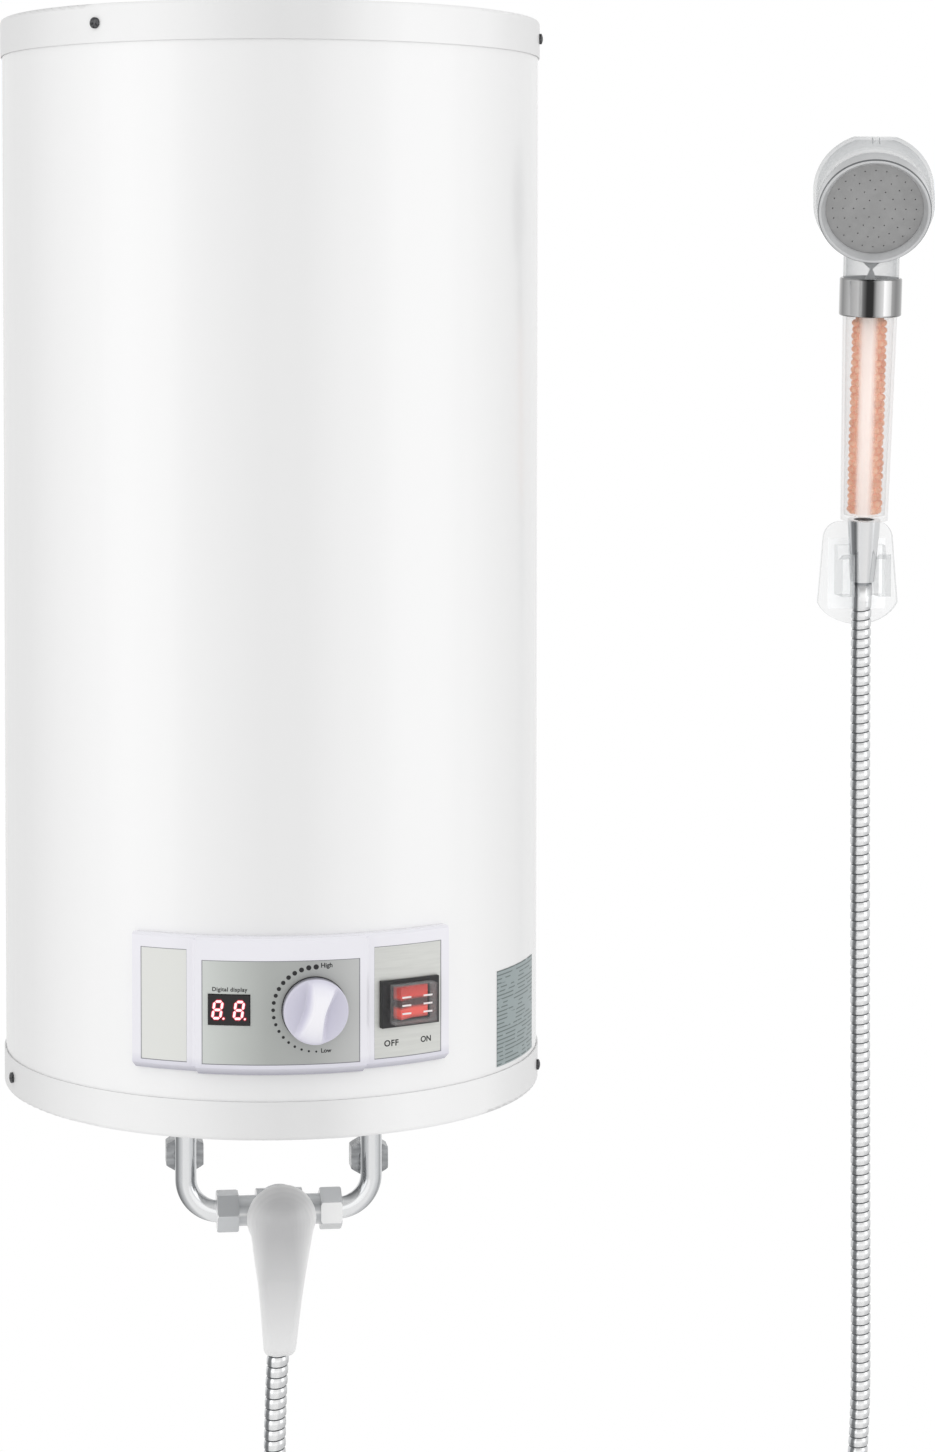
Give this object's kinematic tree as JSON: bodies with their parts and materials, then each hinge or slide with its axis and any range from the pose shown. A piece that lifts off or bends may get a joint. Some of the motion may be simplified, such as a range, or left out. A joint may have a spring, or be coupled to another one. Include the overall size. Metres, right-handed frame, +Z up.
{
  "type": "electric storage water heater",
  "caption": "Wall-hung upright electric water heater with a curved control panel, lever mixer tap on chrome risers, metal shower hose and clear hand shower in a wall holder",
  "frame": {"origin": "midway between the two hanger holes, on the wall face of the hanger plate", "axes": "+Z up along the heater, +Y into the wall, +X to the right as seen from the front"},
  "size_m": [0.7146, 0.4214, 1.3827],
  "materials": {
    "casing_white": "gloss",
    "cover_white": "gloss",
    "screw_steel": "satin",
    "zinc_steel": "satin",
    "enamel_steel": "satin",
    "foam": "matte",
    "gasket_rubber": "matte",
    "element_copper": "satin",
    "anode_metal": "matte",
    "dark_plastic": "satin",
    "spacer_plastic": "matte",
    "panel_white": "gloss",
    "blank_film": "satin",
    "silver_film": "brushed",
    "switch_film": "brushed",
    "display_glass": "gloss",
    "lit_digits": "gloss",
    "board": "satin",
    "control_metal": "satin",
    "knob_white": "gloss",
    "clear_boot": "gloss",
    "red_rocker": "gloss",
    "rating_foil": "satin",
    "chrome": "polished",
    "fibre": "matte",
    "cartridge_plastic": "matte",
    "lever_satin": "satin",
    "hose_steel": "polished",
    "holder_plastic": "gloss",
    "pad_foam": "matte",
    "clear_plastic": "gloss",
    "beads": "matte",
    "strainer_grey": "matte",
    "spray_steel": "satin"
  },
  "bodies": {
    "heater": {"outer_casing": "casing_white", "top_cover": "cover_white", "bottom_cover": "cover_white", "top_cover_screws": "screw_steel", "bottom_cover_screws": "screw_steel", "insulation_foam": "foam", "inner_tank": "enamel_steel", "hanger_bracket": "zinc_steel", "hanger_bolts": "zinc_steel", "lower_spacer": "spacer_plastic", "element_flange": "zinc_steel", "flange_gasket": "gasket_rubber", "flange_bolts": "zinc_steel", "heating_element": "element_copper", "anode_rod": "anode_metal", "sensor_pocket": "element_copper", "temperature_probe": "control_metal", "hot_outlet_pipe": "enamel_steel", "cold_inlet_pipe": "enamel_steel", "thermal_cutout": "dark_plastic", "cable_gland": "dark_plastic", "panel_frame": "panel_white", "blank_plate": "blank_film", "centre_plate": "silver_film", "switch_plate": "switch_film", "display_window": "display_glass", "display_digits": "lit_digits", "control_board": "board", "dial_control": "control_metal", "switch_housing": "dark_plastic", "switch_boot": "clear_boot", "rocker_pin": "control_metal", "rating_plate": "rating_foil", "hot_riser": "chrome", "cold_riser": "chrome", "riser_top_nuts": "chrome", "mixer_union_nuts": "chrome", "supply_union_nuts": "chrome", "fibre_washers": "fibre", "mixer_body": "chrome", "mixer_cartridge": "cartridge_plastic", "mixer_dome": "chrome", "hose_nut": "chrome", "shower_hose": "hose_steel", "shower_holder": "holder_plastic", "adhesive_pad": "pad_foam"},
    "knob": {"temperature_knob": "knob_white", "knob_shaft": "control_metal"},
    "rocker": {"switch_rocker": "red_rocker"},
    "swivel": {"cartridge_stem": "cartridge_plastic", "lever_pin": "control_metal"},
    "lever": {"mixer_lever": "lever_satin"},
    "handset": {"hose_cone_nut": "chrome", "handset_handle": "clear_plastic", "mineral_beads": "beads", "handset_collar": "chrome", "handset_head": "clear_plastic", "neck_strainer": "strainer_grey", "spray_ring": "chrome", "spray_plate": "spray_steel"}
  },
  "joints": [
    {"name": "knob_turn", "type": "hinge", "parent": "heater", "child": "knob", "pos_m": [0.01237, -0.40061, -0.471], "axis": [-0.0625, 0.998, 0], "range_deg": [-15, 165]},
    {"name": "rocker_tip", "type": "hinge", "parent": "heater", "child": "rocker", "pos_m": [0.07442, -0.3763, -0.471], "axis": [0, 0, 1], "range_deg": [-22, 0]},
    {"name": "lever_swivel", "type": "hinge", "parent": "heater", "child": "swivel", "pos_m": [0, -0.263, -0.6415], "axis": [0, 1, 0], "range_deg": [-45, 45]},
    {"name": "lever_lift", "type": "hinge", "parent": "swivel", "child": "lever", "pos_m": [0, -0.285, -0.6415], "axis": [-1, 0, 0], "range_deg": [0, 25]},
    {"name": "handset_lift", "type": "slide", "parent": "heater", "child": "handset", "axis": [0, -0.0872, 0.9962], "range_m": [0, 0.065]}
  ]
}
